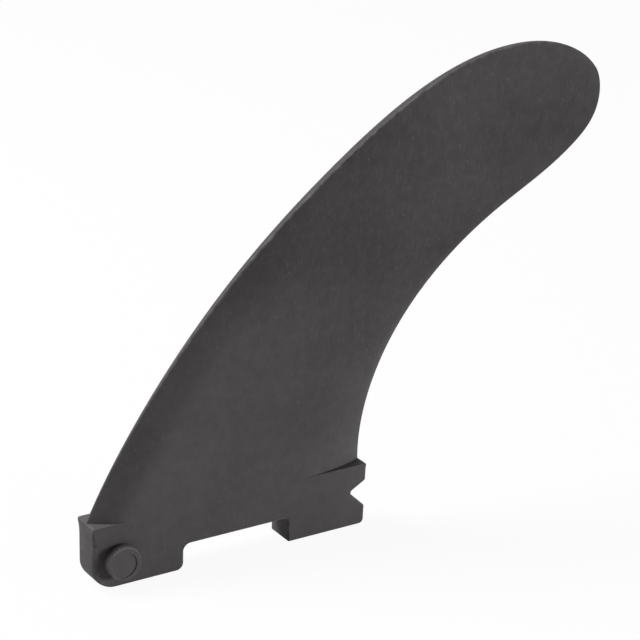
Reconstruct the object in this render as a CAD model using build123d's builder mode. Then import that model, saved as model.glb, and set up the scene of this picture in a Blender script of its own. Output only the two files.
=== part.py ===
"""Paddleboard fin, one plastic moulding: a swept foil blade on a root with two tabs.

Millimetres. The mid-plane is y = 0 and +Z points from the root to the tip. The origin is at the
foot of the tabs, straight under the axis of the side pins, and +X runs aft along the board.
"""

import os
from math import cos, radians, tan

from build123d import *

# Root: the block that fills the board's fin box
root_length = 120.5
root_thickness = 13.0
root_height = 26.0
root_edge_radius = 0.7
rear_face_lean = 1.3  # degrees, the top of the rear face further aft

# Front and rear tabs, with the recess between them
front_tab_length = 38.4
rear_tab_length = 35.6
recess_height = 10.4
front_corner_radius = 9.0
front_tab_heel_radius = 3.0
recess_front_radius = 3.0
recess_rear_radius = 1.5
rear_tab_toe_radius = 0.8
rear_corner_radius = 2.0

# V notch in the rear face, where the fin box's latch snaps in
notch_bottom = 7.8
notch_top = 18.8
notch_apex_height = 14.7
notch_depth = 7.3
notch_apex_radius = 1.2
notch_lip_radius = 1.2

# Round pins, one on each side of the front tab
pin_setback = 11.0
pin_height = 11.2
pin_radius = 7.2
pin_projection = 4.8
pin_rim_radius = 0.8
pin_dish_radius = 5.2
pin_dish_depth = 0.4

# Blade outline, seen from the side. The shapes are shares of the reach and of the depth
blade_reach = 230.0  # root's front face to the furthest point of the tip
blade_depth = 161.0  # root's top to the highest point of the tip
blade_sink = 1.0  # how far the blade's foot goes into the root
foot_inset = 0.3  # from the root's two ends to the blade's edges
leading_rake = 65.0  # degrees up from the root's top, at the foot
trailing_rake = 93.0
leading_shape = [(0.092, 0.214), (0.247, 0.496), (0.471, 0.777), (0.795, 0.995), (0.922, 0.974)]
trailing_shape = [
    (0.552, 0.223),
    (0.664, 0.448),
    (0.794, 0.589),
    (0.901, 0.671),
    (0.946, 0.717),
    (0.988, 0.795),
]
apex_shape = (0.9865, 0.9065)
apex_heading = 35.0  # degrees, the way the tip points

# Blade foil: a blunt nose, a flat middle and an eased tail, thinner towards the tip
blade_step = 0.03  # the blade's sides stand in from the root's
tip_thickness = 2.6
tip_thinning = 1.4  # taken off more and more over the last third of the blade
trailing_thickness = 1.1
leading_thickness_root = 3.6
leading_thickness_tip = 1.2
nose_length_root = 14.0
nose_length_tip = 4.5
tail_length_root = 31.0
tail_length_tip = 12.0
nose_share_limit = 0.3  # of the chord, near the tip
tail_share_limit = 0.6
station_count = 9
last_turn = 87.0  # degrees of the 90 that would bring the last station to the apex

root_half = root_thickness / 2

# The side plane: x aft from the root's front face, y up from the foot of the tabs
side = Plane(origin=(-pin_setback, 0, 0), x_dir=(1, 0, 0), z_dir=(0, -1, 0))


def rear_face(height):
    """How far aft the leaning rear face is at a height above the foot."""
    return root_length - (root_height - height) * tan(radians(rear_face_lean))


def outline_point(shares):
    """A point of the blade's outline from its shares of the reach and the depth."""
    reach_share, depth_share = shares
    return Vector(reach_share * blade_reach, root_height + depth_share * blade_depth)


def direction(angle):
    """The unit vector at an angle in the side plane, in degrees."""
    return Vector(1, 0).rotate(Axis.Z, angle)


def foil_section(leading, trailing, rootward, thickness):
    """One foil section from the leading edge to the trailing edge, square to the mid-plane.

    rootward is 1 at the foot and 0 at the tip. The blunt leading edge swells on a quadratic curve
    to the flat middle, and the tail falls away on a cubic curve to a blunt trailing edge. Neither
    edge is thicker than the section.
    """
    chord = (trailing - leading).length
    half = thickness / 2
    nose = nose_length_tip + (nose_length_root - nose_length_tip) * rootward
    tail = tail_length_tip + (tail_length_root - tail_length_tip) * rootward
    nose = min(nose, nose_share_limit * chord)
    tail = min(tail, tail_share_limit * chord)
    leading_full = leading_thickness_tip + (leading_thickness_root - leading_thickness_tip) * rootward
    leading_half = min(leading_full / 2, half)
    trailing_half = min(trailing_thickness / 2, half)
    tail_start = chord - tail
    start = side.from_local_coords(leading)
    along = (side.from_local_coords(trailing) - start).normalized()
    plane = Plane(origin=start, x_dir=along, z_dir=along.cross(Vector(0, 1, 0)))
    with BuildSketch(plane) as section:
        with BuildLine():
            Line((0, 0), (0, leading_half))
            Bezier((0, leading_half), (nose / 2, half), (nose, half))
            Line((nose, half), (tail_start, half))
            Bezier(
                (tail_start, half),
                (tail_start + tail / 3, half),
                (chord - tail / 3, half),
                (chord, trailing_half),
            )
            Line((chord, trailing_half), (chord, 0))
            mirror(about=Plane.XZ)
        make_face()
    return section.sketch


# The blade's two edges, each from its foot in the root to the apex of the tip
foot_level = root_height - blade_sink
apex = outline_point(apex_shape)
with BuildLine() as leading_edge:
    Spline(
        (foot_inset, foot_level),
        *[outline_point(shares) for shares in leading_shape],
        apex,
        tangents=[direction(leading_rake), direction(apex_heading - 90)],
    )
with BuildLine() as trailing_edge:
    Spline(
        (rear_face(root_height) - foot_inset, foot_level),
        *[outline_point(shares) for shares in trailing_shape],
        apex,
        tangents=[direction(trailing_rake), direction(apex_heading + 90)],
    )

# Stations close up towards both ends, where the outline turns and the chord shrinks
foot_thickness = root_thickness - 2 * blade_step
sections = []
for station in range(station_count):
    turn = last_turn * station / (station_count - 1)
    rootward = cos(radians(turn)) ** 2
    thickness = tip_thickness + (foot_thickness - tip_thickness) * rootward
    thickness -= tip_thinning * (1 - rootward) ** 6
    leading = leading_edge.line @ (1 - rootward)
    trailing = trailing_edge.line @ (1 - rootward)
    sections.append(foil_section(leading, trailing, rootward, thickness))

with BuildPart() as blade:
    loft(sections)

with BuildSketch(side) as root_profile:
    with BuildLine():
        FilletPolyline(
            (0, 0),
            (front_tab_length, 0),
            (front_tab_length, recess_height),
            (root_length - rear_tab_length, recess_height),
            (root_length - rear_tab_length, 0),
            (rear_face(0), 0),
            (rear_face(notch_bottom), notch_bottom),
            (rear_face(notch_apex_height) - notch_depth, notch_apex_height),
            (rear_face(notch_top), notch_top),
            (rear_face(root_height), root_height),
            (0, root_height),
            radius=[
                front_corner_radius,
                front_tab_heel_radius,
                recess_front_radius,
                recess_rear_radius,
                rear_tab_toe_radius,
                rear_corner_radius,
                notch_lip_radius,
                notch_apex_radius,
                notch_lip_radius,
                0,
                0,
            ],
            close=True,
        )
    make_face()

with BuildPart() as fin:
    extrude(root_profile.sketch, amount=root_half, both=True)
    side_edges = fin.edges().filter_by(lambda edge: abs(edge.center().Y) > root_half - 0.01)
    fillet(side_edges.sort_by(Axis.Z)[:-2], root_edge_radius)
    add(blade.part)
    with BuildSketch(Plane.XZ):
        with Locations((0, pin_height)):
            Circle(pin_radius)
    extrude(amount=root_half + pin_projection, both=True)

    # Each pin is rounded at its rim, and has a shallow dish in its end
    pin_ends = fin.faces().sort_by(Axis.Y)
    fillet(pin_ends[0].edges() + pin_ends[-1].edges(), pin_rim_radius)
    pin_ends = fin.faces().sort_by(Axis.Y)
    with BuildSketch(Plane(pin_ends[0]), Plane(pin_ends[-1])):
        Circle(pin_dish_radius)
    extrude(amount=-pin_dish_depth, mode=Mode.SUBTRACT)

fin.part.label = "fin"
os.makedirs("parts", exist_ok=True)
export_step(fin.part, "parts/fin.step")
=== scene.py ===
"""Paddleboard fin: one matt black plastic moulding, on a pale floor in soft light.

The blade, the root and the pins are each worked out as a closed surface and then joined into one.
Sizes of the moulding are in millimetres in the CAD's own frame, and the scene is in metres.
"""

import bmesh
import bpy
import numpy as np
from mathutils import Matrix, Vector


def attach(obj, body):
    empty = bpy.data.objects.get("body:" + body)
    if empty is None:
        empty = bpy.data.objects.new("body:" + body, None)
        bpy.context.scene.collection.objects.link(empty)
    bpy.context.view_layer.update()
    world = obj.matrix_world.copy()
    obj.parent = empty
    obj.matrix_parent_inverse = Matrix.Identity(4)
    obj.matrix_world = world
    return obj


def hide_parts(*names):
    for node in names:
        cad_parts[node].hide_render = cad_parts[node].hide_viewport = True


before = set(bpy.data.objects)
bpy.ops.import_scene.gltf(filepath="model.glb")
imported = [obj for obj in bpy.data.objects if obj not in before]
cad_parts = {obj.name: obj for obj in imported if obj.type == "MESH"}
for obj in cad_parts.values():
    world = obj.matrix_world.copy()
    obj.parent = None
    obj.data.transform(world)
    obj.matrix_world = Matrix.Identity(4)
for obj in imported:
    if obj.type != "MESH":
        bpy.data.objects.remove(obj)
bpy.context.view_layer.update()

MM = 0.001

# Root, seen from the side: distance aft of its front face, height above the foot of the tabs
PIN_SETBACK = 11.0
ROOT_LENGTH = 120.5
ROOT_HEIGHT = 26.0
ROOT_HALF = 6.5
REAR_LEAN = 1.3  # degrees, the top of the rear face further aft
FRONT_TAB_LENGTH = 38.4
REAR_TAB_LENGTH = 35.6
RECESS_HEIGHT = 10.4
NOTCH_BOTTOM = 7.8
NOTCH_APEX = 14.7
NOTCH_TOP = 18.8
NOTCH_DEPTH = 7.3

# Corners of the root's outline
FRONT_CORNER_RADIUS = 9.0
HEEL_RADIUS = 3.0
RECESS_FRONT_RADIUS = 3.0
RECESS_REAR_RADIUS = 1.5
TOE_RADIUS = 0.8
REAR_CORNER_RADIUS = 2.0
NOTCH_RADIUS = 1.2
TOP_REAR_RADIUS = 0.6
TOP_FRONT_RADIUS = 0.9
CORNER_STEPS = 12
STRAIGHT_STEP = 2.5  # longest stretch of the outline between two rows of points

# Rounding of the root's long edges: larger at the nose, next to none where the blade runs flush
EDGE_RADIUS = 0.7
NOSE_EDGE_RADIUS = 2.0
NOSE_EDGE_REACH = 9.0
TOP_EDGE_RADIUS = 0.06
TOP_EDGE_GROWTH = 0.5  # of the rounding, for each millimetre down from the top
EDGE_STEPS = 6
FLAT_MARGIN = 0.08  # a ring just inside each rounding, which keeps the flat side flat

# Pins
PIN_HEIGHT = 11.2
PIN_RADIUS = 6.75
PIN_PROJECTION = 4.8
PIN_RIM_RADIUS = 0.45
PIN_DISH_RADIUS = 5.2
PIN_DISH_DEPTH = 0.4
PIN_DISH_EDGE = 0.12  # radius of its two small edges
PIN_DISH_SHIFT = (-0.4, -0.45)  # off the pin's axis, aft and up
PIN_POINTS = 120

# Blade outline, from the foot to the apex of the tip: distance aft of the root's front face, height
BLADE_LEADING = [(0.0, 25.0), (20.6, 60.8), (56.6, 105.8), (108.4, 151.0), (182.5, 186.2), (212.1, 183.1)]
BLADE_TRAILING = [
    (120.2, 25.0),
    (127.2, 61.8),
    (152.7, 98.1),
    (182.7, 120.5),
    (207.2, 134.2),
    (217.5, 141.4),
    (228.2, 153.8),
]
BLADE_APEX = (227.2, 172.1)
LEADING_RAKE = 65.0  # degrees up from the root's top, at the foot
TRAILING_RAKE = 93.0
APEX_HEADING = 35.0  # degrees, the way the tip points
CURVE_POINTS = 3000  # places worked out along each edge

# Blade foil. A pair of values is for the foot and for the tip
FOIL_THICKNESS = (12.94, 2.6)
TIP_THINNING = 1.4  # taken off besides at the tip
TIP_THINNING_POWER = 6  # of the share of the way to the tip
NOSE_LENGTH = (14.0, 34.0)
TAIL_LENGTH = (31.0, 46.0)
NOSE_SHARE_LIMIT = 0.42  # of the chord
TAIL_SHARE_LIMIT = 0.55
LEADING_THICKNESS = 0.7  # of the blunt leading edge at both its ends
LEADING_SWELL = 3.1  # added to it in between
LEADING_SWELL_PLACE = 0.64  # share of the way to the tip where all of it is added
TRAILING_THICKNESS = 1.1
TRAILING_EASE = 6.0  # width of the steeper band along the trailing edge
TRAILING_EASE_FALL = 1.2
TRAILING_EASE_START = 0.2  # share of the way to the tip from which it falls fully
TRAILING_EASE_AT_FOOT = 0.3  # share of the fall that is there at the foot
TRAILING_EASE_LIMIT = 0.4  # of what the section has to fall
LEADING_ROUNDING = 0.8
TRAILING_ROUNDING = 0.4
ROUNDING_LIMIT = 0.8  # of the edge's half thickness
ROUNDING_CHORD_LIMIT = 0.25
LAST_TURN = 87.0  # degrees of the 90 that would bring the last station to the apex
STATIONS = 170
CHORD_POINTS = 56
ROUNDING_POINTS = 6

# Finish. Each pattern's size is in millimetres
DEEP_COLOUR = "#302D2E"
PALE_COLOUR = "#524F50"
# The paler colour of rubbed lines and nicks, and of the convex edges, which are partly wear and partly a
# painted highlight
RUBBED_AND_HIGHLIGHT_COLOUR = "#6E6A6A"
CLOUD_SIZE = 70.0  # drifts in the colour, about half the blade wide
MOTTLE_SIZE = 4.0  # flow marks of the glass fibres under the skin
MOTTLE_SHARE = 0.3  # of the change in colour, and the clouds have the rest
COLOUR_SPAN = dict(From_Min=0.12, From_Max=0.82)  # values that give the deep and the pale colour
TIP_HEIGHT = 187.0
# Painted shade: the colour deepens with height, to even out the lamps' stronger light up the blade
PAINTED_HEIGHT_SHADE = dict(From_Min=0.0, From_Max=TIP_HEIGHT * MM, To_Min=0.05, To_Max=-0.34)  # deeper up
NICK_SPACING = 5.0
NICK_SPAN = dict(From_Min=0.03, From_Max=0.1, To_Min=0.24, To_Max=0.0)  # from shares of the spacing
STREAK_SPAN = dict(From_Min=0.56, From_Max=0.74)  # only the noise's peaks make a line
STREAK_DEPTH = 6.0  # size of a rubbed line across the fin
UPRIGHT_STREAKS = (4.0, 4.0, 0.6, 0.1)  # angle in degrees, length, width, amount
SLANTING_STREAKS = (-38.0, 6.0, 0.4, 0.06)
# Paler convex edges: partly wear, partly a painted highlight
EDGE_WEAR_AND_HIGHLIGHT_SPAN = dict(From_Min=0.4, From_Max=0.65, To_Min=0.05, To_Max=0.5)  # patchy, with the mottle
GRAIN_SIZE = 0.5  # a spark-eroded mould's grain is nearer 0.1 mm, drawn coarser so that it shows
GRAIN_DEPTH = 0.05
GRAIN_STRENGTH = 0.3
GLOSS_SPAN = dict(From_Min=0.3, From_Max=0.7, To_Min=0.6, To_Max=0.54)  # roughness, with the mottle
SURFACE_IOR = 1.2  # nylon is 1.53, and is set lower here because the fin shows next to no gloss
SOFT_TURN = 8.0  # degrees between two faces
SHARP_TURN = 16.0
SMOOTH_LIMIT = 35.0  # degrees, from which an edge is shaded sharp

# Camera: the photograph's viewing angle. Angles in degrees, lengths in metres
CAMERA_AZIMUTH = -32.58  # from straight abeam, towards the front
CAMERA_ELEVATION = 21.71
CAMERA_ROLL = 1.586
CAMERA_DISTANCE = 0.91794
CAMERA_TARGET = (0.089589, -0.00065, 0.088518)
LENS = 135.0
SENSOR = 36.0

# Stage
FLOOR_REACH = 6.0
FLOOR_COLOUR = "#BEBEBE"
FLOOR_WHITE_SHARE = 0.94  # of what is seen of the floor, the rest is the lit paint with its shadow
WHITE = "#FFFFFF"
ROOM_STRENGTH = 0.12

# Lamps: place, what it points at, width of its disk in metres, power in watts
KEY_LAMP = ((-0.56, 0.58, 1.24), (0.09, 0, 0.08), 0.8, 43.0)
FILL_LAMP = ((2.2, -2.0, 0.15), (0.09, 0, 0.06), 1.3, 120.0)


def linear(hex_colour):
    """An sRGB hex colour as linear red, green, blue and an alpha of 1."""
    parts = np.array([int(hex_colour[i : i + 2], 16) for i in (1, 3, 5)]) / 255
    parts = np.where(parts <= 0.04045, parts / 12.92, ((parts + 0.055) / 1.055) ** 2.4)
    return (*parts.tolist(), 1.0)


def heading(angle):
    """The unit vector at an angle in degrees, in the side plane."""
    return np.array([np.cos(np.radians(angle)), np.sin(np.radians(angle))])


def add_node(tree, kind, links=None, **settings):
    """Add a node. Settings name its properties or its sockets, and links name sockets to join.

    A socket is named with underscores for spaces, or by its number with an s before it.
    """
    node = tree.nodes.new(kind)

    def socket(name):
        if name[0] == "s" and name[1:].isdigit():
            return node.inputs[int(name[1:])]
        return node.inputs[name.replace("_", " ")]

    for name, value in settings.items():
        if hasattr(node, name) and name[0].islower() and not name[1:].isdigit():
            setattr(node, name, value)
        else:
            socket(name).default_value = value
    for name, source in (links or {}).items():
        tree.links.new(source, socket(name))
    return node


def new_material(name):
    """A material with an empty node tree."""
    material = bpy.data.materials.new(name)
    material.use_nodes = True
    material.node_tree.nodes.clear()
    return material


# Surfaces


def curve_through(points, start_heading, end_heading):
    """A curve through points that bends evenly, as places at equal steps along its length.

    Each span is a cubic in the running chord length. The slopes at the points solve the
    equations that make neighbouring spans share their second derivative, with unit slopes
    given at both ends.
    """
    points = np.array(points, float)
    spans = np.linalg.norm(np.diff(points, axis=0), axis=1)
    rates = np.diff(points, axis=0) / spans[:, None]
    n = len(points)
    system = np.eye(n)
    wanted = np.zeros((n, 2))
    wanted[0], wanted[-1] = heading(start_heading), heading(end_heading)
    inner = np.arange(1, n - 1)
    system[inner, inner - 1] = spans[1:]
    system[inner, inner] = 2 * (spans[1:] + spans[:-1])
    system[inner, inner + 1] = spans[:-1]
    wanted[inner] = 3 * (spans[1:, None] * rates[:-1] + spans[:-1, None] * rates[1:])
    slopes = np.linalg.solve(system, wanted)

    knots = np.concatenate([[0], np.cumsum(spans)])
    along = np.linspace(0, knots[-1], CURVE_POINTS)
    k = np.clip(np.searchsorted(knots, along, side="right") - 1, 0, n - 2)
    u = ((along - knots[k]) / spans[k])[:, None]
    step = spans[k][:, None]
    curve = (
        (1 + 2 * u) * (1 - u) ** 2 * points[k]
        + u * (1 - u) ** 2 * step * slopes[k]
        + u**2 * (3 - 2 * u) * points[k + 1]
        + u**2 * (u - 1) * step * slopes[k + 1]
    )
    length = np.concatenate([[0], np.cumsum(np.linalg.norm(np.diff(curve, axis=0), axis=1))])
    even = np.linspace(0, length[-1], CURVE_POINTS)
    return np.stack([np.interp(even, length, curve[:, axis]) for axis in (0, 1)], axis=1)


def rounded_outline(corners, radii):
    """A closed outline whose corners are arcs, as points and outward normals.

    An arc's centre lies on its corner's bisector, at the radius over the sine of the half angle.
    Straight runs between the arcs are divided into equal steps.
    """
    corners, radii = np.array(corners, float), np.array(radii, float)
    back = np.roll(corners, 1, axis=0) - corners
    ahead = np.roll(corners, -1, axis=0) - corners
    back /= np.linalg.norm(back, axis=1)[:, None]
    ahead /= np.linalg.norm(ahead, axis=1)[:, None]
    opening = np.arccos((back * ahead).sum(1))
    bisector = (back + ahead) / np.linalg.norm(back + ahead, axis=1)[:, None]
    centre = corners + bisector * (radii / np.sin(opening / 2))[:, None]
    first = corners + back * (radii / np.tan(opening / 2))[:, None] - centre
    side = np.sign(ahead[:, 0] * back[:, 1] - ahead[:, 1] * back[:, 0])  # 1 where it bulges outwards
    angle = np.arctan2(first[:, 1], first[:, 0])[:, None]
    angle = angle + (side * (np.pi - opening))[:, None] * np.linspace(0, 1, CORNER_STEPS)
    ray = np.stack([np.cos(angle), np.sin(angle)], axis=2)
    points = (centre[:, None] + radii[:, None, None] * ray).reshape(-1, 2)
    normals = (side[:, None, None] * ray).reshape(-1, 2)

    run = np.linalg.norm(np.roll(points, -1, axis=0) - points, axis=1)
    parts = np.maximum(1, np.ceil(run / STRAIGHT_STEP)).astype(int)
    source = np.repeat(np.arange(len(points)), parts)
    share = (np.arange(len(source)) - np.repeat(np.cumsum(parts) - parts, parts)) / parts[source]
    share = share[:, None]
    after = (source + 1) % len(points)
    return (
        points[source] * (1 - share) + points[after] * share,
        normals[source] * (1 - share) + normals[after] * share,
    )


def closed_surface(name, rings):
    """A mesh from a stack of closed rings, shape (rings, points, 3) in mm, with a cap on each end."""
    count, around, _ = rings.shape
    start = (np.arange(count - 1)[:, None] * around + np.arange(around)).reshape(-1)
    turn = np.tile((np.arange(around) + 1) % around - np.arange(around), count - 1)
    quads = np.stack([start, start + turn, start + turn + around, start + around], axis=1)
    caps = [list(range(around))[::-1], list(range((count - 1) * around, count * around))]
    mesh = bpy.data.meshes.new(name)
    mesh.from_pydata((rings.reshape(-1, 3) * MM).tolist(), [], quads.tolist() + caps)
    work = bmesh.new()
    work.from_mesh(mesh)
    bmesh.ops.recalc_face_normals(work, faces=work.faces)
    work.to_mesh(mesh)
    work.free()
    return mesh


def blade_surface():
    """The blade as a grid: stations from foot to tip, and points round each foil section.

    A section's half thickness along its chord is a flat middle, less a square-law fall to each
    blunt edge, and less a second, short square-law fall along the trailing edge. A quarter
    circle rounds the corner of each edge. Lengths and thicknesses change from the foot to the
    tip by the square of a cosine, and the blunt leading edge swells by a half wave of a sine.
    """
    leading = curve_through([*BLADE_LEADING, BLADE_APEX], LEADING_RAKE, APEX_HEADING - 90)
    trailing = curve_through([*BLADE_TRAILING, BLADE_APEX], TRAILING_RAKE, APEX_HEADING + 90)
    rootward = np.cos(np.radians(np.linspace(0, LAST_TURN, STATIONS)))[:, None] ** 2
    tipward = 1 - rootward
    place = tipward[:, 0] * (len(leading) - 1)

    def at(curve):
        return np.stack([np.interp(place, np.arange(len(curve)), curve[:, i]) for i in (0, 1)], axis=1)

    def shrink(foot_and_tip):
        return foot_and_tip[1] + (foot_and_tip[0] - foot_and_tip[1]) * rootward

    def rounding(radius, edge_half):
        return np.minimum(np.minimum(radius, ROUNDING_LIMIT * edge_half), ROUNDING_CHORD_LIMIT * chord)

    front, rear = at(leading), at(trailing)
    chord = np.linalg.norm(rear - front, axis=1)[:, None]
    half = (shrink(FOIL_THICKNESS) - TIP_THINNING * tipward**TIP_THINNING_POWER) / 2
    nose = np.minimum(shrink(NOSE_LENGTH), NOSE_SHARE_LIMIT * chord)
    tail = np.minimum(shrink(TAIL_LENGTH), TAIL_SHARE_LIMIT * chord)
    swell = np.sin(np.pi * tipward ** (np.log(0.5) / np.log(LEADING_SWELL_PLACE)))
    leading_half = np.minimum((LEADING_THICKNESS + LEADING_SWELL * swell) / 2, half)
    trailing_half = np.minimum(TRAILING_THICKNESS / 2, half)
    ease_fall = TRAILING_EASE_FALL * np.clip(tipward / TRAILING_EASE_START, TRAILING_EASE_AT_FOOT, 1)
    ease_fall = np.minimum(ease_fall, TRAILING_EASE_LIMIT * (half - trailing_half))
    leading_round = rounding(LEADING_ROUNDING, leading_half)
    trailing_round = rounding(TRAILING_ROUNDING, trailing_half)

    # Places along the chord, closer together towards both edges
    rise = 1 - np.cos(np.linspace(0, np.pi / 2, ROUNDING_POINTS))
    middle = (1 - np.cos(np.linspace(0, np.pi, CHORD_POINTS + 2)[1:-1])) / 2
    inner = leading_round + (chord - leading_round - trailing_round) * middle
    nose_part = leading_round * rise
    tail_part = chord - trailing_round * rise[::-1]
    from_leading = np.concatenate([nose_part, inner, tail_part], axis=1)
    from_trailing = chord - from_leading

    before = np.clip(1 - from_leading / nose, 0, None)
    past = np.clip(1 - from_trailing / tail, 0, None)
    ease = np.clip(1 - from_trailing / np.minimum(TRAILING_EASE, tail / 2), 0, None)
    height = half - (half - leading_half) * before**2
    height = height - (half - trailing_half - ease_fall) * past**2 - ease_fall * ease**2
    for distance, radius in ((from_leading, leading_round), (from_trailing, trailing_round)):
        inside = np.clip(radius - distance, 0, radius)
        height = height - radius + np.sqrt(np.clip(radius**2 - inside**2, 0, None))
    across = from_leading / chord
    x = front[:, :1] * (1 - across) + rear[:, :1] * across - PIN_SETBACK
    z = front[:, 1:] * (1 - across) + rear[:, 1:] * across
    near = np.stack([x, -height, z], axis=2)
    far = np.stack([x, height, z], axis=2)[:, ::-1]
    return closed_surface("blade", np.concatenate([near, far], axis=1))


def rear_face(height):
    """How far aft the leaning rear face is at a height above the foot."""
    return ROOT_LENGTH - (ROOT_HEIGHT - height) * np.tan(np.radians(REAR_LEAN))


def root_surface():
    """The root as rings of its outline, drawn in by a quarter circle at each side's edges."""
    corners = [
        (0, 0, FRONT_CORNER_RADIUS),
        (FRONT_TAB_LENGTH, 0, HEEL_RADIUS),
        (FRONT_TAB_LENGTH, RECESS_HEIGHT, RECESS_FRONT_RADIUS),
        (ROOT_LENGTH - REAR_TAB_LENGTH, RECESS_HEIGHT, RECESS_REAR_RADIUS),
        (ROOT_LENGTH - REAR_TAB_LENGTH, 0, TOE_RADIUS),
        (rear_face(0), 0, REAR_CORNER_RADIUS),
        (rear_face(NOTCH_BOTTOM), NOTCH_BOTTOM, NOTCH_RADIUS),
        (rear_face(NOTCH_APEX) - NOTCH_DEPTH, NOTCH_APEX, NOTCH_RADIUS),
        (rear_face(NOTCH_TOP), NOTCH_TOP, NOTCH_RADIUS),
        (rear_face(ROOT_HEIGHT), ROOT_HEIGHT, TOP_REAR_RADIUS),
        (0, ROOT_HEIGHT, TOP_FRONT_RADIUS),
    ]
    points, normals = rounded_outline([c[:2] for c in corners], [c[2] for c in corners])
    x, z = points.T
    nose = np.clip(1 - x / NOSE_EDGE_REACH, 0, 1)
    radius = EDGE_RADIUS + (NOSE_EDGE_RADIUS - EDGE_RADIUS) * nose**2 * (3 - 2 * nose)
    radius = np.minimum(radius, TOP_EDGE_RADIUS + TOP_EDGE_GROWTH * (ROOT_HEIGHT - z))

    quarter = np.linspace(np.pi / 2, 0, EDGE_STEPS)
    drawn_in = radius * (1 - np.cos(quarter))[:, None]
    side = ROOT_HALF - radius * (1 - np.sin(quarter))[:, None]
    drawn_in = np.concatenate([drawn_in[:1] + FLAT_MARGIN, drawn_in])
    side = np.concatenate([side[:1], side])
    drawn_in = np.concatenate([drawn_in, drawn_in[::-1]])
    y = np.concatenate([-side, side[::-1]])
    place = points[None] - normals[None] * drawn_in[:, :, None]
    return closed_surface("root", np.stack([place[:, :, 0] - PIN_SETBACK, y, place[:, :, 1]], axis=2))


def pin_surface():
    """Both pins as one bar through the root: a profile of radius against distance, turned round."""
    quarter = np.linspace(0, np.pi / 2, EDGE_STEPS)
    sine, cosine = np.sin(quarter), np.cos(quarter)
    end = ROOT_HALF + PIN_PROJECTION
    floor = end - PIN_DISH_DEPTH
    dish = PIN_DISH_RADIUS
    soft = PIN_DISH_EDGE
    rim = PIN_RADIUS - PIN_RIM_RADIUS
    profile = np.concatenate(
        [
            [(dish - 3 * soft, floor)],
            np.stack([dish - soft + soft * sine, floor + soft - soft * cosine], axis=1),
            np.stack([dish + soft - soft * cosine, end - soft + soft * sine], axis=1),
            [(dish + 2 * soft, end), (rim - soft, end)],
            np.stack([rim + PIN_RIM_RADIUS * sine, end - PIN_RIM_RADIUS * (1 - cosine)], axis=1),
        ]
    )
    r, out = profile.T
    r = np.concatenate([r, r[::-1]])[:, None]
    y = np.concatenate([-out, out[::-1]])[:, None]
    angle = np.linspace(0, 2 * np.pi, PIN_POINTS, endpoint=False)[None]
    in_dish = np.clip((rim - r) / (rim - dish - soft), 0, 1)
    x = r * np.cos(angle) + in_dish * PIN_DISH_SHIFT[0]
    z = r * np.sin(angle) + in_dish * PIN_DISH_SHIFT[1]
    rings = np.stack([x, y + 0 * angle, PIN_HEIGHT + z], axis=2)
    return closed_surface("pins", rings)


# Finish


def streaks(tree, place, angle, length, width, amount):
    """Fine rubbed lines at an angle in the side plane, as a value from 0 to an amount, mostly 0.

    The pattern is noise drawn out along the lines, and only its peaks are kept.
    """
    turn = (0, np.radians(angle), 0)
    sizes = (1 / (width * MM), 1 / (STREAK_DEPTH * MM), 1 / (length * MM))
    turned = add_node(tree, "ShaderNodeMapping", {"Vector": place}, Rotation=turn).outputs[0]
    drawn = {"Vector": add_node(tree, "ShaderNodeMapping", {"Vector": turned}, Scale=sizes).outputs[0]}
    noise = add_node(tree, "ShaderNodeTexNoise", drawn, Scale=1.0, Detail=2.0, Roughness=0.6)
    lines = {"Value": noise.outputs["Fac"]}
    return add_node(tree, "ShaderNodeMapRange", lines, **STREAK_SPAN, To_Max=amount).outputs[0]


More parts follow.
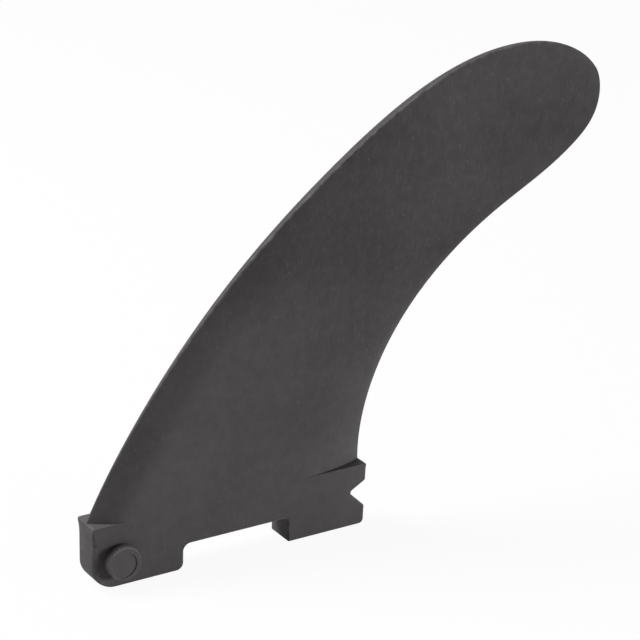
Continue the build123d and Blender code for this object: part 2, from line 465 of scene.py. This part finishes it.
def black_plastic():
    """Black nylon with glass fibre, injection moulded and matt from the mould's rough walls.

    To the eye it is a very dark warm grey with cloudy drifts, next to no gloss and a fine grain.
    Handling gives it paler rubbed lines and a few nicks, and its convex edges are paler, partly
    from wear and partly as a painted highlight. The colour deepens a little with height, a
    painted shade that evens out the lamps.
    """
    material = new_material("moulded_black_nylon")
    tree = material.node_tree
    place = add_node(tree, "ShaderNodeTexCoord").outputs["Object"]
    at = {"Vector": place}

    # Colour: clouds and mottle together, with a painted shade that deepens with height
    cloud_scale, mottle_scale = 1 / (CLOUD_SIZE * MM), 1 / (MOTTLE_SIZE * MM)
    clouds = add_node(tree, "ShaderNodeTexNoise", at, Scale=cloud_scale, Detail=2.0, Roughness=0.5)
    mottle = add_node(tree, "ShaderNodeTexNoise", at, Scale=mottle_scale, Detail=4.0, Roughness=0.65)
    clouds, mottle = clouds.outputs["Fac"], mottle.outputs["Fac"]
    both = {"s2": clouds, "s3": mottle}
    pattern = add_node(tree, "ShaderNodeMix", both, data_type="FLOAT", Factor=MOTTLE_SHARE).outputs[0]
    # Painted shade: the colour deepens with height, to even out the lamps
    height = add_node(tree, "ShaderNodeSeparateXYZ", at).outputs["Z"]
    level = add_node(tree, "ShaderNodeMapRange", {"Value": height}, **PAINTED_HEIGHT_SHADE).outputs[0]
    tone_with_painted_shade = {"s0": pattern, "s1": level}
    shade = {"Value": add_node(tree, "ShaderNodeMath", tone_with_painted_shade, operation="ADD").outputs[0]}
    paleness = {"Factor": add_node(tree, "ShaderNodeMapRange", shade, **COLOUR_SPAN).outputs[0]}
    ends = dict(s6=linear(DEEP_COLOUR), s7=linear(PALE_COLOUR))
    colour = add_node(tree, "ShaderNodeMix", paleness, data_type="RGBA", **ends).outputs[2]

    # Marks: nicks, paler convex edges that are partly wear and partly a painted highlight, and rubbed
    # lines, added up
    nick_scale = 1 / (NICK_SPACING * MM)
    cells = add_node(tree, "ShaderNodeTexVoronoi", at, Scale=nick_scale, Randomness=1.0)
    centres = {"Value": cells.outputs["Distance"]}
    marks = add_node(tree, "ShaderNodeMapRange", centres, **NICK_SPAN).outputs[0]
    # Paler convex edges, partly wear and partly a painted highlight
    edge = add_node(tree, "ShaderNodeAttribute", attribute_name="edge").outputs["Fac"]
    edge_patchiness = add_node(tree, "ShaderNodeMapRange", {"Value": mottle}, **EDGE_WEAR_AND_HIGHLIGHT_SPAN).outputs[0]
    edge_wear_and_highlight = add_node(tree, "ShaderNodeMath", {"s0": edge, "s1": edge_patchiness}, operation="MULTIPLY").outputs[0]
    upright = streaks(tree, place, *UPRIGHT_STREAKS)
    slanting = streaks(tree, place, *SLANTING_STREAKS)
    for mark in (edge_wear_and_highlight, upright, slanting):
        marks = add_node(tree, "ShaderNodeMath", {"s0": marks, "s1": mark}, operation="ADD").outputs[0]
    rubbed_and_highlight = dict(clamp_factor=True, s7=linear(RUBBED_AND_HIGHLIGHT_COLOUR))
    marked = add_node(tree, "ShaderNodeMix", {"Factor": marks, "s6": colour}, data_type="RGBA", **rubbed_and_highlight)

    # Relief: the grain with the rubbed lines
    grain_scale = 1 / (GRAIN_SIZE * MM)
    grain = add_node(tree, "ShaderNodeTexNoise", at, Scale=grain_scale, Detail=2.0, Roughness=0.6)
    relief = grain.outputs["Fac"]
    for mark in (upright, slanting):
        relief = add_node(tree, "ShaderNodeMath", {"s0": relief, "s1": mark}, operation="ADD").outputs[0]
    depth = dict(Strength=GRAIN_STRENGTH, Distance=GRAIN_DEPTH * MM)
    surface = {
        "Base_Color": marked.outputs[2],
        "Normal": add_node(tree, "ShaderNodeBump", {"Height": relief}, **depth).outputs[0],
        "Roughness": add_node(tree, "ShaderNodeMapRange", {"Value": mottle}, **GLOSS_SPAN).outputs[0],
    }
    shader = add_node(tree, "ShaderNodeBsdfPrincipled", surface, IOR=SURFACE_IOR)
    add_node(tree, "ShaderNodeOutputMaterial", {"Surface": shader.outputs[0]})
    return material


def mark_edges(mesh):
    """Store on each point how sharply the surface turns outwards there, from 0 to 1.

    The turn at an edge is the angle between the normals of its two faces, and counts where the
    second face's centre is below the first face's plane. It is 0 up to SOFT_TURN, so the easy
    curves of the blade stay plain, and 1 from SHARP_TURN.
    """

    def read(items, name, width=1):
        values = np.zeros(len(items) * width, dtype=np.float32 if width == 3 else np.int32)
        items.foreach_get(name, values)
        return values.reshape(-1, width) if width > 1 else values

    faces = np.repeat(np.arange(len(mesh.polygons)), read(mesh.polygons, "loop_total"))
    pairs = faces[np.argsort(read(mesh.loops, "edge_index"), kind="stable")].reshape(-1, 2)
    normals = read(mesh.polygons, "normal", 3)
    centres = read(mesh.polygons, "center", 3)
    first, second = pairs.T
    angle = np.arccos(np.clip((normals[first] * normals[second]).sum(1), -1, 1))
    outwards = ((centres[second] - centres[first]) * normals[first]).sum(1) < 0
    turn = np.clip((np.degrees(angle) - SOFT_TURN) / (SHARP_TURN - SOFT_TURN), 0, 1) * outwards
    ends = np.array([edge.vertices[:] for edge in mesh.edges])
    edge = np.zeros(len(mesh.vertices), dtype=np.float32)
    np.maximum.at(edge, ends[:, 0], turn)
    np.maximum.at(edge, ends[:, 1], turn)
    mesh.attributes.new("edge", "FLOAT", "POINT").data.foreach_set("value", edge)


def build_fin():
    """Join the three surfaces into one moulding, smooth but for its real corners."""
    body = bpy.data.objects.new("fin_moulding", root_surface())
    bpy.context.scene.collection.objects.link(body)
    helpers = []
    for mesh in (blade_surface(), pin_surface()):
        helper = bpy.data.objects.new(mesh.name, mesh)
        bpy.context.scene.collection.objects.link(helper)
        helpers.append(helper)
        union = body.modifiers.new(mesh.name, "BOOLEAN")
        union.operation = "UNION"
        union.solver = "EXACT"
        union.object = helper
    joined = bpy.data.meshes.new_from_object(body.evaluated_get(bpy.context.evaluated_depsgraph_get()))
    body.modifiers.clear()
    body.data = joined
    joined.name = "fin_moulding"
    for helper in helpers:
        bpy.data.objects.remove(helper)
    mark_edges(joined)
    joined.shade_smooth()
    joined.set_sharp_from_angle(angle=np.radians(SMOOTH_LIMIT))
    joined.materials.clear()
    joined.materials.append(black_plastic())
    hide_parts("fin")
    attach(body, "root")
    return body


# Stage and camera


def seen_rays(tree):
    """1 for the rays of the camera, of gloss and of glass, which see the backdrop as plain white."""
    path = add_node(tree, "ShaderNodeLightPath").outputs
    seen = path["Is Camera Ray"]
    for kind in ("Is Glossy Ray", "Is Transmission Ray"):
        either = {"s0": seen, "s1": path[kind]}
        seen = add_node(tree, "ShaderNodeMath", either, operation="MAXIMUM").outputs[0]
    return seen


def build_floor():
    """A flat painted floor. What is seen of it is mostly white, with the paint's shadow mixed in."""
    r = FLOOR_REACH
    mesh = bpy.data.meshes.new("floor")
    mesh.from_pydata([(-r, -r, 0), (r, -r, 0), (r, r, 0), (-r, r, 0)], [], [(0, 1, 2, 3)])
    floor = bpy.data.objects.new("floor", mesh)
    bpy.context.scene.collection.objects.link(floor)
    material = new_material("painted_floor")
    tree = material.node_tree
    seen = {"s0": seen_rays(tree)}
    share = add_node(tree, "ShaderNodeMath", seen, operation="MULTIPLY", s1=FLOOR_WHITE_SHARE)
    paint = add_node(tree, "ShaderNodeBsdfDiffuse", Color=linear(FLOOR_COLOUR))
    white = add_node(tree, "ShaderNodeEmission", Color=linear(WHITE), Strength=1.0)
    layers = {"s0": share.outputs[0], "s1": paint.outputs[0], "s2": white.outputs[0]}
    mix = add_node(tree, "ShaderNodeMixShader", layers)
    add_node(tree, "ShaderNodeOutputMaterial", {"Surface": mix.outputs[0]})
    mesh.materials.append(material)


def build_room():
    """Even white light from all round, weak on the fin and plain white where it is seen."""
    world = bpy.data.worlds.new("white_room")
    world.use_nodes = True
    tree = world.node_tree
    tree.nodes.clear()
    seen = {"Factor": seen_rays(tree)}
    strength = add_node(tree, "ShaderNodeMix", seen, data_type="FLOAT", s2=ROOM_STRENGTH, s3=1.0)
    light = add_node(tree, "ShaderNodeBackground", {"Strength": strength.outputs[0]}, Color=linear(WHITE))
    add_node(tree, "ShaderNodeOutputWorld", {"Surface": light.outputs[0]})
    bpy.context.scene.world = world


def add_lamp(name, place, aim, size, power):
    """A round soft lamp at a place, facing the point that it aims at."""
    lamp = bpy.data.lights.new(name, "AREA")
    lamp.shape = "DISK"
    lamp.size = size
    lamp.energy = power
    holder = bpy.data.objects.new(name, lamp)
    holder.location = place
    holder.rotation_euler = (Vector(aim) - Vector(place)).to_track_quat("-Z", "Y").to_euler()
    bpy.context.scene.collection.objects.link(holder)


def build_camera():
    """The camera on a sphere round its target, turned about its own axis by the roll."""
    azimuth, elevation, roll = np.radians([CAMERA_AZIMUTH, CAMERA_ELEVATION, CAMERA_ROLL])
    level = np.cos(elevation)
    back = Vector((np.sin(azimuth) * level, -np.cos(azimuth) * level, np.sin(elevation)))
    right = Vector((0, 0, 1)).cross(back).normalized()
    up = back.cross(right)
    turned_right = right * np.cos(roll) + up * np.sin(roll)
    turned_up = up * np.cos(roll) - right * np.sin(roll)
    camera = bpy.data.cameras.new("camera")
    camera.lens = LENS
    camera.sensor_width = SENSOR
    holder = bpy.data.objects.new("camera", camera)
    turn = Matrix((turned_right, turned_up, back)).transposed().to_4x4()
    holder.matrix_world = Matrix.Translation(Vector(CAMERA_TARGET) + back * CAMERA_DISTANCE) @ turn
    bpy.context.scene.collection.objects.link(holder)
    bpy.context.scene.camera = holder


build_fin()
build_floor()
build_room()
add_lamp("key", *KEY_LAMP)
add_lamp("fill", *FILL_LAMP)
build_camera()
bpy.context.scene.view_settings.view_transform = "Standard"
